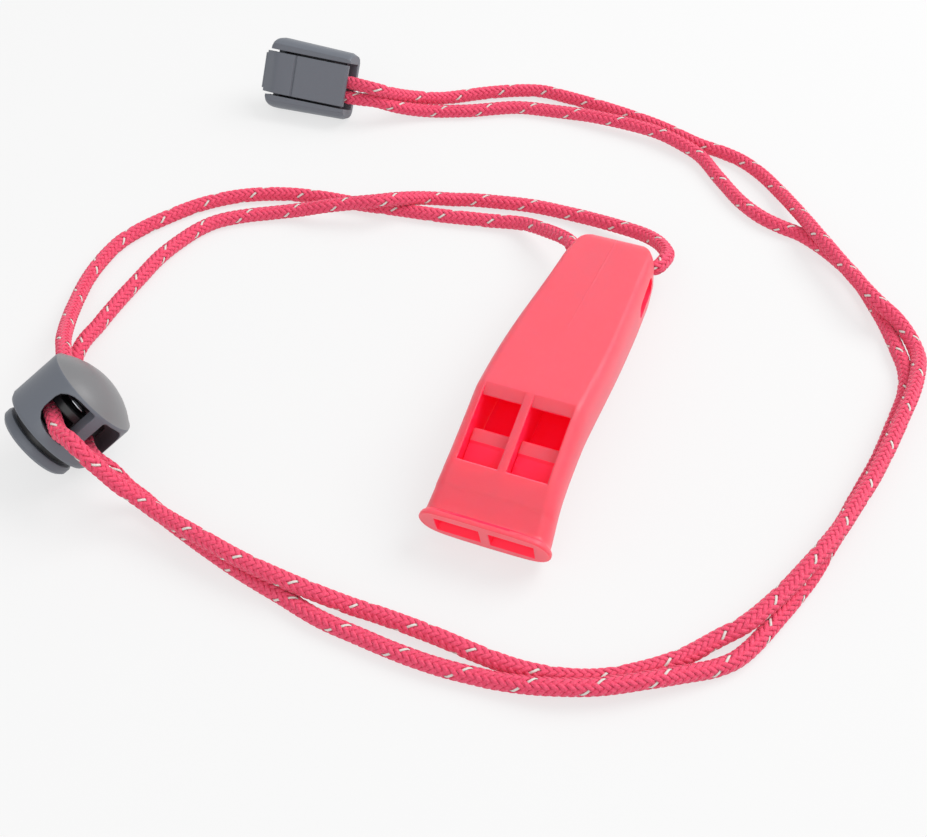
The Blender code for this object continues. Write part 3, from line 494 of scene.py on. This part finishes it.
@dataclass(frozen=True)
class Palette:
    """The finishes of the object."""

    whistle: bpy.types.Material
    inside: bpy.types.Material
    grey: bpy.types.Material
    dome: bpy.types.Material
    black: bpy.types.Material
    yarn: bpy.types.Material
    tracer: bpy.types.Material
    core: bpy.types.Material
    spring: bpy.types.Material

    @classmethod
    def make(cls) -> "Palette":
        """Makes every finish.

        Returns:
            The palette.
        """
        effects = Effects()
        red = {"grain": 0.06, "grain_scale": 700.0, "glow": 1.0}
        matt = {"grain": 0.25, "grain_scale": 1500.0}
        finishes = {
            "whistle": PlasticFinish(
                "whistle_plastic", (0.74, 0.09, 0.13), 0.40, edge=0.45 * MM, seam=0.5, specular=0.4, **red
            ),
            # Painted light: the walls inside the chambers and ducts are painted a deeper red and glow faintly,
            # for light that comes through the thin red walls
            "inside": PlasticFinish(
                "whistle_inside_painted_glow", (0.84, 0.022, 0.085), 0.42, edge=0.2 * MM, painted_glow=0.17, specular=0.25,
                **red
            ),
            "grey": PlasticFinish("grey_plastic", (0.125, 0.137, 0.162), 0.42, **matt),
            # Painted light: the lock's dome is painted a little paler than the barrel's side, as the light
            # falls on it
            "dome": PlasticFinish("grey_dome_painted_light", (0.165, 0.166, 0.172), 0.36, edge=0.0, **matt),
            # Painted shade: the plunger's stem is painted black, for the shade in the gap under the button and
            # inside the barrel
            "black": PlasticFinish(
                "stem_painted_shade", (0.012, 0.012, 0.014), 0.35, grain=0.2, grain_scale=1500.0
            ),
            "yarn": YarnFinish("cord_yarn", (0.96, 0.145, 0.24), (0.58, 0.005, 0.060), 0.7, 0.20),
            "tracer": YarnFinish("tracer_yarn", (0.80, 0.77, 0.72), (0.52, 0.48, 0.45), 0.6, 0.0),
            # Painted shade: the core is painted a dark red, for the shade in the gaps between the yarns
            "core": YarnFinish("core_painted_shade", (0.30, 0.004, 0.024), (0.18, 0.002, 0.014), 0.8, 0.0, 0.2),
        }
        made = {name: finish.material(effects) for name, finish in finishes.items()}
        return cls(spring=MetalFinish("spring_wire", (0.34, 0.35, 0.37), 0.16).material(), **made)


class GeometryGroup:
    """A Geometry Nodes group with its inputs, and the object that it turns into a plain mesh."""

    def __init__(self, name: str) -> None:
        """Starts the group.

        Args:
            name: Name of the group.
        """
        self.tree = bpy.data.node_groups.new(name, "GeometryNodeTree")
        self.tree.is_modifier = True
        self.tree.interface.new_socket("Geometry", in_out="INPUT", socket_type="NodeSocketGeometry")
        self.tree.interface.new_socket("Geometry", in_out="OUTPUT", socket_type="NodeSocketGeometry")
        self.given = add_node(self.tree, "NodeGroupInput")
        self.out = add_node(self.tree, "NodeGroupOutput")
        self.identifiers: dict[str, str] = {}

    def add_input(self, label: str, kind: str) -> bpy.types.NodeSocket:
        """Adds an input.

        Args:
            label: Name of the input.
            kind: Socket type.

        Returns:
            The matching output of the group's input node.
        """
        socket = self.tree.interface.new_socket(label, in_out="INPUT", socket_type=kind)
        self.identifiers[label] = socket.identifier
        return self.given.outputs[label]

    def add(self, kind: str, links: dict[str, Any] | None = None, **settings: Any) -> bpy.types.Node:
        """Adds a node with its inputs filled.

        Args:
            kind: Blender's type name of the node.
            links: Output sockets or constants by input name.
            settings: Properties to set on the node.

        Returns:
            The new node.
        """
        node = add_node(self.tree, kind, **settings)
        fill(self.tree, node, links or {})
        return node

    def sweep(
        self, path: bpy.types.NodeSocket, profile: bpy.types.NodeSocket, material: bpy.types.NodeSocket,
        scale: Any = 1.0,
    ) -> bpy.types.NodeSocket:
        """Sweeps a profile along a path into a smooth closed mesh.

        Args:
            path: Curve that the profile follows.
            profile: Closed curve.
            material: Finish of the mesh.
            scale: Size of the profile along the path.

        Returns:
            The mesh.
        """
        swept = self.add("GeometryNodeCurveToMesh", {
            "Curve": path, "Profile Curve": profile, "Fill Caps": True, "Scale": scale,
        })
        smooth = self.add("GeometryNodeSetShadeSmooth", {"Geometry": swept.outputs["Mesh"]})
        painted = self.add("GeometryNodeSetMaterial", {
            "Geometry": smooth.outputs["Geometry"], "Material": material,
        })
        return painted.outputs["Geometry"]

    def end(self, geometry: bpy.types.NodeSocket) -> None:
        """Links the group's result.

        Args:
            geometry: Socket that gives the result.
        """
        realised = self.add("GeometryNodeRealizeInstances", {"Geometry": geometry})
        self.tree.links.new(realised.outputs["Geometry"], self.out.inputs["Geometry"])

    def bake(self, name: str, source: bpy.types.Object, values: dict[str, Any]) -> bpy.types.Object:
        """Runs the group on an object and keeps the result as a plain mesh.

        Args:
            name: Name of the new object.
            source: Object that carries the modifier while the group runs.
            values: Input values by label.

        Returns:
            A mesh object at the origin.
        """
        modifier = source.modifiers.new(name, "NODES")
        modifier.node_group = self.tree
        for label, value in values.items():
            modifier[self.identifiers[label]] = value
        source.update_tag()
        graph = bpy.context.evaluated_depsgraph_get()
        mesh = bpy.data.meshes.new_from_object(source.evaluated_get(graph), depsgraph=graph)
        source.modifiers.remove(modifier)
        mesh.name = name
        return add_object(name, mesh)


def smooth_line(points: Sequence[Vector], steps: int) -> list[Vector]:
    """A centripetal smooth curve through points.

    Args:
        points: Points that the curve passes.
        steps: Points of the curve for each given one.

    Returns:
        Points of the curve.
    """
    padded = [points[0] * 2 - points[1], *points, points[-1] * 2 - points[-2]]
    line: list[Vector] = []
    for p0, p1, p2, p3 in zip(padded, padded[1:], padded[2:], padded[3:]):
        t1 = (p1 - p0).length ** 0.5
        t2 = t1 + (p2 - p1).length ** 0.5
        t3 = t2 + (p3 - p2).length ** 0.5
        for step in range(steps):
            t = t1 + (t2 - t1) * step / steps
            a1 = p0.lerp(p1, t / t1)
            a2 = p1.lerp(p2, (t - t1) / (t2 - t1))
            a3 = p2.lerp(p3, (t - t2) / (t3 - t2))
            b1 = a1.lerp(a2, t / t2)
            b2 = a2.lerp(a3, (t - t1) / (t3 - t1))
            line.append(b1.lerp(b2, (t - t1) / (t2 - t1)))
    line.append(points[-1].copy())
    return line


@dataclass
class Lanyard:
    """The braided cord: a core and two families of yarns, one of them with a pale tracer."""

    diameter: float = 2.8 * MM
    fullness: float = 0.14 * MM
    pitch: float = 10.2 * MM
    carriers: int = 8
    yarn_width: float = 0.84 * MM
    yarn_thickness: float = 0.30 * MM
    yarn_sides: int = 6
    wave: float = 0.14 * MM
    wave_firmness: float = 1.5
    step: float = 0.40 * MM
    core_step: float = 1.2 * MM
    core_sides: int = 14
    route_steps: int = 12
    yarns_in_piece: int = 4
    tracer_share: float = 0.55
    pieces: list[bpy.types.Object] = field(default_factory=list)

    @property
    def yarn_radius(self) -> float:
        """Mean radius on which the yarns lie."""
        return (self.diameter + self.fullness) / 2 - self.wave - self.yarn_thickness / 2

    def route(self) -> list[Vector]:
        """The cord's centre line, nowhere lower than the braid's own radius.

        Returns:
            Points in metres.
        """
        points = [
            *FIRST_END, *UPPER_STRAND, *FIRST_LOCK_RUN, *LEFT_LOOP, *HOLE_RUN, *RIGHT_LOOP, *SECOND_LOCK_RUN,
            *LOWER_STRAND, *SECOND_END,
        ]
        line = smooth_line([Vector(point) * MM for point in points], self.route_steps)
        for point in line:
            point.z = max(point.z, (self.diameter + self.fullness) / 2)
        return line

    def guide(self, line: Sequence[Vector]) -> bpy.types.Object:
        """A curve along the centre line.

        Args:
            line: Points of the centre line.

        Returns:
            A curve object.
        """
        curve = bpy.data.curves.new("cord_guide", "CURVE")
        curve.dimensions = "3D"
        spline = curve.splines.new("POLY")
        spline.points.add(len(line) - 1)
        for point, place in zip(spline.points, line):
            point.co = (*place, 1.0)
        return add_object("cord_guide", curve)

    def core_group(self) -> GeometryGroup:
        """Group that sweeps a circle along the guide.

        Returns:
            The group.
        """
        group = GeometryGroup("cord_core")
        radius = group.add_input("Radius", "NodeSocketFloat")
        material = group.add_input("Material", "NodeSocketMaterial")
        even = group.add(
            "GeometryNodeResampleCurve",
            {"Curve": group.given.outputs["Geometry"], "Length": self.core_step}, mode="LENGTH",
        )
        ring = group.add(
            "GeometryNodeCurvePrimitiveCircle",
            {"Resolution": self.core_sides, "Radius": radius}, mode="RADIUS",
        )
        group.end(group.sweep(even.outputs["Curve"], ring.outputs["Curve"], material))
        return group

    def braid_group(self) -> GeometryGroup:
        """Group that winds yarns round the guide, each over two and under two of the other family.

        Returns:
            The group.
        """
        group = GeometryGroup("cord_braid")
        tree = group.tree
        yarns, first, carriers = (
            group.add_input(label, "NodeSocketInt") for label in ("Yarns", "First", "Carriers")
        )
        hand, pitch, radius, wave, width, thickness, step = (
            group.add_input(label, "NodeSocketFloat")
            for label in ("Hand", "Pitch", "Radius", "Wave", "Width", "Thickness", "Step")
        )
        tracer = group.add_input("Tracer", "NodeSocketInt")
        material = group.add_input("Material", "NodeSocketMaterial")
        pale = group.add_input("Tracer Material", "NodeSocketMaterial")
        slim = group.add_input("Tracer Share", "NodeSocketFloat")

        # Each copy of the guide becomes a yarn, at its own angle round the cord
        even = group.add(
            "GeometryNodeResampleCurve",
            {"Curve": group.given.outputs["Geometry"], "Length": step}, mode="LENGTH",
        )
        copies = group.add(
            "GeometryNodeDuplicateElements",
            {"Geometry": even.outputs["Curve"], "Amount": yarns}, domain="SPLINE",
        )
        index = math_node(tree, "ADD", copies.outputs["Duplicate Index"], first)
        turns = math_node(tree, "DIVIDE", group.add("GeometryNodeSplineParameter").outputs["Length"], pitch)
        wound = math_node(tree, "MULTIPLY", turns, hand)
        share = math_node(tree, "DIVIDE", index, carriers)
        angle = math_node(tree, "MULTIPLY", math_node(tree, "ADD", share, wound), math.tau)
        tangent = group.add("GeometryNodeInputTangent").outputs["Tangent"]
        normal = group.add("GeometryNodeInputNormal").outputs["Normal"]
        beside = vector_node(tree, "CROSS_PRODUCT", tangent, normal)
        along_normal = vector_node(tree, "SCALE", normal, scale=math_node(tree, "COSINE", angle))
        along_beside = vector_node(tree, "SCALE", beside, scale=math_node(tree, "SINE", angle))
        outward = vector_node(tree, "ADD", along_normal, along_beside)

        # It rises and sinks once for every four crossings
        crossings = math_node(tree, "MULTIPLY", wound, math_node(tree, "MULTIPLY", carriers, 2.0))
        phase = math_node(tree, "ADD", math_node(tree, "MULTIPLY_ADD", index, 2.0, crossings), -0.5)
        swing = math_node(tree, "COSINE", math_node(tree, "MULTIPLY", phase, math.tau / 4))
        steep = math_node(tree, "MULTIPLY", swing, self.wave_firmness)
        firm = math_node(tree, "MAXIMUM", math_node(tree, "MINIMUM", steep, 1.0), -1.0)
        lift = math_node(tree, "MULTIPLY", math_node(tree, "MULTIPLY", firm, hand), wave)
        reach = math_node(tree, "ADD", radius, lift)

        # What the sweep needs is stored before the points move
        stored = group.add(
            "GeometryNodeStoreNamedAttribute", {"Geometry": copies.outputs["Geometry"], "Name": "outward"},
            data_type="FLOAT_VECTOR", domain="POINT",
        )
        feed(tree, stored.inputs["Value"], outward)
        marked = group.add(
            "GeometryNodeStoreNamedAttribute", {"Geometry": stored.outputs["Geometry"], "Name": "is_tracer"},
            data_type="BOOLEAN", domain="POINT",
        )
        whole = group.add("FunctionNodeFloatToInt", {"Float": index}, rounding_mode="ROUND")
        same = group.add("FunctionNodeCompare", data_type="INT", operation="EQUAL")
        feed(tree, same.inputs[COMPARE_FIRST_INTEGER], whole.outputs["Integer"])
        feed(tree, same.inputs[COMPARE_SECOND_INTEGER], tracer)
        feed(tree, marked.inputs["Value"], same.outputs["Result"])
        offset = vector_node(tree, "SCALE", outward, scale=reach)
        moved = group.add("GeometryNodeSetPosition", {"Geometry": marked.outputs["Geometry"], "Offset": offset})
        out_field = group.add(
            "GeometryNodeInputNamedAttribute", {"Name": "outward"}, data_type="FLOAT_VECTOR"
        )
        turned = group.add("GeometryNodeSetCurveNormal", {"Curve": moved.outputs["Geometry"]}, mode="FREE")
        feed(tree, turned.inputs["Normal"], out_field.outputs["Attribute"])

        # A flat oval follows each yarn, slimmer and paler on the tracer
        ring = group.add(
            "GeometryNodeCurvePrimitiveCircle", {"Resolution": self.yarn_sides, "Radius": 0.5}, mode="RADIUS"
        )
        sizes = group.add("ShaderNodeCombineXYZ", {"X": thickness, "Y": width, "Z": 1.0})
        flat = group.add(
            "GeometryNodeTransform", {"Geometry": ring.outputs["Curve"], "Scale": sizes.outputs["Vector"]}
        )
        is_tracer = group.add(
            "GeometryNodeInputNamedAttribute", {"Name": "is_tracer"}, data_type="BOOLEAN"
        ).outputs["Attribute"]
        scale = group.add(
            "GeometryNodeSwitch", {"Switch": is_tracer, "False": 1.0, "True": slim}, input_type="FLOAT"
        )
        painted = group.sweep(
            turned.outputs["Curve"], flat.outputs["Geometry"], material, scale.outputs["Output"]
        )
        traced = group.add("GeometryNodeSetMaterial", {
            "Geometry": painted, "Selection": is_tracer, "Material": pale,
        })
        cleared = group.add("GeometryNodeRemoveAttribute", {
            "Geometry": traced.outputs["Geometry"], "Name": "outward",
        })
        group.end(cleared.outputs["Geometry"])
        return group

    def build(self, palette: Palette) -> None:
        """Args:
            palette: Finishes of the object.
        """
        line = self.route()
        guide = self.guide(line)
        # The core is painted dark, painted shade between the yarns
        core = self.core_group().bake(
            "cord_core", guide, {"Radius": self.yarn_radius - self.wave, "Material": palette.core}
        )
        braid = self.braid_group()
        sizes = {
            "Yarns": self.yarns_in_piece, "Carriers": self.carriers, "Pitch": self.pitch,
            "Radius": self.yarn_radius, "Wave": self.wave, "Width": self.yarn_width,
            "Thickness": self.yarn_thickness, "Step": self.step, "Material": palette.yarn,
            "Tracer Material": palette.tracer, "Tracer Share": self.tracer_share,
        }
        for hand in Hand:
            for first in range(0, self.carriers, self.yarns_in_piece):
                name = f"cord_yarns_{hand.name.lower()}_{first // self.yarns_in_piece + 1}"
                tracer = 0 if hand is Hand.LEFT else -1
                values = {**sizes, "First": first, "Hand": hand.value, "Tracer": tracer}
                self.pieces.append(braid.bake(name, guide, values))
        bpy.data.objects.remove(guide, do_unlink=True)
        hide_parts("lanyard_cord")
        for piece in (core, *self.pieces):
            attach(piece, Body.LANYARD.value)
            LOG.info("built %s with %d faces", piece.name, len(piece.data.polygons))


@dataclass
class Moulding:
    """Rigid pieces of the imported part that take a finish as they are."""

    sharp_angle: float = math.radians(32)
    weld_gap: float = 0.002 * MM

    def dress(self, node: bpy.types.Object, material: bpy.types.Material, slot: Slot) -> None:
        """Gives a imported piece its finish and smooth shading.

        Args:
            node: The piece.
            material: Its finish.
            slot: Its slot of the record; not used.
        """
        node.data.materials.clear()
        node.data.materials.append(material)
        for face in node.data.polygons:
            face.use_smooth = True
            face.material_index = 0
        weld = node.modifiers.new("weld", "WELD")
        weld.merge_threshold = self.weld_gap
        split = node.modifiers.new("edges", "EDGE_SPLIT")
        split.split_angle = self.sharp_angle
        split.use_edge_sharp = False
        node.modifiers.new("shading", "WEIGHTED_NORMAL")
        LOG.info("dressed %s", node.name)


@dataclass
class Whistle(Moulding):
    """The whistle's housing and the insert that closes it from below."""

    nodes: tuple[str, ...] = ("whistle_body", "whistle_base")
    look_ahead: float = 22.0 * MM
    look_from: float = 0.05 * MM
    tilt: float = 1.0
    walls_needed: float = 0.9
    patch_turn: float = 0.02
    patch_depth: float = 0.05 * MM

    def walls(self) -> BVHTree:
        """Every face of the housing and the insert, for looking from one wall to the next.

        Returns:
            A search tree in world space.
        """
        corners: list[Vector] = []
        faces: list[list[int]] = []
        for name in self.nodes:
            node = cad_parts[name]
            start = len(corners)
            corners.extend(node.matrix_world @ vertex.co for vertex in node.data.vertices)
            faces.extend([start + index for index in face.vertices] for face in node.data.polygons)
        return BVHTree.FromPolygons(corners, faces)

    def walls_seen(self, walls: BVHTree, centre: Vector, normal: Vector) -> int:
        """Counts the walls that a face looks onto, which are none on the outside.

        Args:
            walls: Faces of the whistle.
            centre: Middle of the face.
            normal: Its outward direction.

        Returns:
            How many of five looks meet a wall.
        """
        side = normal.orthogonal().normalized()
        other = normal.cross(side)
        looks = [
            normal + (side * math.cos(turn) + other * math.sin(turn)) * self.tilt
            for turn in (0.0, math.tau / 4, math.tau / 2, math.tau * 3 / 4)
        ]
        start = centre + normal * self.look_from
        hits = (walls.ray_cast(start, look.normalized(), self.look_ahead)[0] for look in (normal, *looks))
        return sum(hit is not None for hit in hits)

    def enclosed(self, walls: BVHTree, node: bpy.types.Object) -> set[int]:
        """Finds the faces inside the chambers and ducts, a flat patch at a time; these take the painted glow.

        Args:
            walls: Faces of the whistle.
            node: One of its pieces.

        Returns:
            Numbers of those faces.
        """
        turn = node.matrix_world.to_3x3()
        patches: dict[tuple[int, ...], list[tuple[int, float, int]]] = {}
        for face in node.data.polygons:
            centre = node.matrix_world @ face.center
            normal = (turn @ face.normal).normalized()
            heading = (round(part / self.patch_turn) for part in normal)
            key = (*heading, round(normal.dot(centre) / self.patch_depth), int(centre.x > 0))
            seen = self.walls_seen(walls, centre, normal)
            patches.setdefault(key, []).append((face.index, face.area, seen))
        chosen: set[int] = set()
        for patch in patches.values():
            total = sum(area for _, area, _ in patch)
            if total > 0 and sum(area * seen for _, area, seen in patch) / total >= self.walls_needed:
                chosen.update(index for index, _, _ in patch)
        return chosen

    def build(self, palette: Palette) -> None:
        """Dresses the housing and the insert; their enclosed walls are painted a deeper red with a faint glow,
        painted light for the light that comes through the walls.

        Args:
            palette: Finishes of the object.
        """
        walls = self.walls()
        for name in self.nodes:
            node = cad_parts[name]
            self.dress(node, palette.whistle, Slot.WHISTLE)
            # Enclosed walls take the painted glow: a deeper red and a faint light of their own
            node.data.materials.append(palette.inside)
            for index in self.enclosed(walls, node):
                node.data.polygons[index].material_index = 1


@dataclass
class CordLock(Moulding):
    """The sprung cord lock: barrel, plunger and spring."""

    origin: Point = (-0.0763, -0.0448, 0.00785)
    front: Point = (0.678428, -0.706968, 0.199828)
    axis: Point = (0.552518, 0.670257, 0.495459)
    spring_radius: float = 4.0 * MM
    wire: float = 0.8 * MM
    wire_sides: int = 12
    turns: int = 3
    turn_points: int = 40
    low: float = 7.65 * MM
    high: float = 11.45 * MM
    travel: float = 1.2 * MM
    # Faces of the stem that are painted black as shade
    stem_start: float = -1.3 * MM
    stem_facing: float = -1.1
    # Faces of the dome that take the paler finish, which is painted light
    dome_start: float = 10.4 * MM
    dome_facing: float = 0.3

    @property
    def matrix(self) -> Matrix:
        """Place of the lock: X along the cord, Z from button to dome.

        Returns:
            The matrix from the lock's own space to the world.
        """
        front, axis = Vector(self.front), Vector(self.axis)
        matrix = Matrix((front, axis.cross(front), axis)).transposed().to_4x4()
        matrix.translation = Vector(self.origin)
        return matrix

    def repaint(
        self, node: bpy.types.Object, material: bpy.types.Material, above: float, facing: float
    ) -> None:
        """Gives the faces of a piece beyond a height along the lock's axis another finish.

        Args:
            node: The piece, already dressed.
            material: Finish of those faces.
            above: Height along the axis from which they start.
            facing: How far the faces turn to the dome's end at least: 1 for straight at it, under -1 for all.
        """
        node.data.materials.append(material)
        place = self.matrix.inverted() @ node.matrix_world
        turn = place.to_3x3()
        for face in node.data.polygons:
            if (place @ face.center).z > above and (turn @ face.normal).normalized().z > facing:
                face.material_index = 1

    def spring_group(self) -> GeometryGroup:
        """Group that winds a spring upwards from the origin.

        Returns:
            The group.
        """
        group = GeometryGroup("wound_spring")
        wire, turns, radius, height = (
            group.add_input(label, "NodeSocketFloat") for label in ("Wire", "Turns", "Radius", "Height")
        )
        material = group.add_input("Material", "NodeSocketMaterial")
        coil = group.add("GeometryNodeCurveSpiral", {
            "Resolution": self.turn_points, "Rotations": turns, "Start Radius": radius, "End Radius": radius,
            "Height": height,
        })
        half = math_node(group.tree, "MULTIPLY", wire, 0.5)
        ring = group.add(
            "GeometryNodeCurvePrimitiveCircle", {"Resolution": self.wire_sides, "Radius": half}, mode="RADIUS"
        )
        group.end(group.sweep(coil.outputs["Curve"], ring.outputs["Curve"], material))
        return group

    def build(self, palette: Palette) -> None:
        """Dresses the barrel and plunger and winds the spring.

        Args:
            palette: Finishes of the object.
        """
        barrel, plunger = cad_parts["lock_barrel"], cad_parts["lock_plunger"]
        self.dress(barrel, palette.grey, Slot.GREY)
        self.dress(plunger, palette.grey, Slot.GREY)
        # The dome is painted paler, painted light where the light falls on it
        self.repaint(barrel, palette.dome, self.dome_start, self.dome_facing)
        # The stem is painted black, painted shade for the gap around it
        self.repaint(plunger, palette.black, self.stem_start, self.stem_facing)
        holder = add_object("spring_guide", bpy.data.meshes.new("spring_guide"))
        values = {
            "Wire": self.wire, "Turns": float(self.turns), "Radius": self.spring_radius,
            "Height": self.high - self.low, "Material": palette.spring,
        }
        spring = self.spring_group().bake("wound_spring", holder, values)
        bpy.data.objects.remove(holder, do_unlink=True)
        spring.data.transform(self.matrix @ Matrix.Translation((0, 0, self.low)))
        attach(spring, Body.LOCK.value)
        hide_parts("lock_spring")
        top = self.matrix @ Vector((0, 0, self.high + self.wire / 2))
        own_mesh(spring)
        LOG.info("wound %s", spring.name)


@dataclass
class CordEnd(Moulding):
    """The clip that holds the two cord ends: base and hinged lid."""

    nodes: tuple[str, ...] = ("cord_end_base", "cord_end_lid")

    def build(self, palette: Palette) -> None:
        """Dresses the base and the lid.

        Args:
            palette: Finishes of the object.
        """
        for name in self.nodes:
            self.dress(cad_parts[name], palette.grey, Slot.GREY)


@dataclass(frozen=True)
class Lamp:
    """A square soft light, aimed at the origin."""

    name: str
    place: Point
    size: float
    power: float

    def hang(self) -> None:
        """Hangs the light."""
        light = bpy.data.lights.new(self.name, "AREA")
        light.shape = "SQUARE"
        light.size = self.size
        light.energy = self.power
        point_at(add_object(self.name, light), self.place, (0.0, 0.0, 0.0))


@dataclass
class Studio:
    """Floor, light and camera."""

    floor_size: float = 6.0
    floor_tone: float = 0.21
    floor_light: float = 0.68
    floor_roughness: float = 0.9
    surround: float = 0.68
    lamps: tuple[Lamp, ...] = (
        Lamp("key", (0.40, 0.45, 0.65), 0.6, 6.5),
        Lamp("fill", (0.05, -0.60, 0.45), 0.6, 1.2),
    )
    camera_place: Point = (0.048396, -0.170908, 0.179542)
    camera_aim: Point = (-0.014303, -0.009260, 0.0)
    lens: float = 54.0
    sensor: float = 36.0
    nearest: float = 10.0 * MM

    def build(self) -> None:
        """Builds the stage."""
        self.floor()
        self.world()
        for lamp in self.lamps:
            lamp.hang()
        self.camera()

    def floor(self) -> None:
        """Lays the pale floor, whose own faint light keeps the shadows soft."""
        half = self.floor_size / 2
        mesh = bpy.data.meshes.new("floor")
        corners = [(-half, -half, 0), (half, -half, 0), (half, half, 0), (-half, half, 0)]
        mesh.from_pydata(corners, [], [(0, 1, 2, 3)])
        material, tree, shader = start_material("floor_white")
        fill(tree, shader, {
            "Base Color": (self.floor_tone, self.floor_tone, self.floor_tone, 1.0),
            "Emission Color": (1.0, 1.0, 1.0, 1.0), "Emission Strength": self.floor_light,
            "Roughness": self.floor_roughness, "Specular IOR Level": 0.0,
        })
        mesh.materials.append(material)
        item = add_object("floor", mesh)

    def world(self) -> None:
        """Sets an even white surround."""
        world = bpy.data.worlds.new("surround")
        world.use_nodes = True
        back = world.node_tree.nodes["Background"]
        fill(world.node_tree, back, {"Color": (1.0, 1.0, 1.0, 1.0), "Strength": self.surround})
        bpy.context.scene.world = world

    def camera(self) -> None:
        """Places the camera at the photograph's angle."""
        data = bpy.data.cameras.new("camera")
        data.lens = self.lens
        data.sensor_width = self.sensor
        data.clip_start = self.nearest
        item = add_object("camera", data)
        point_at(item, self.camera_place, self.camera_aim)
        bpy.context.scene.camera = item
        bpy.context.scene.view_settings.view_transform = "Standard"


def main() -> None:
    """Builds the object in order, then the studio."""
    logging.basicConfig(level=logging.INFO, format="%(name)s: %(message)s")
    palette = Palette.make()
    for assembly in (Whistle(), CordLock(), CordEnd(), Lanyard()):
        assembly.build(palette)
    Studio().build()
    bpy.context.view_layer.update()


if __name__ == "__main__":
    main()
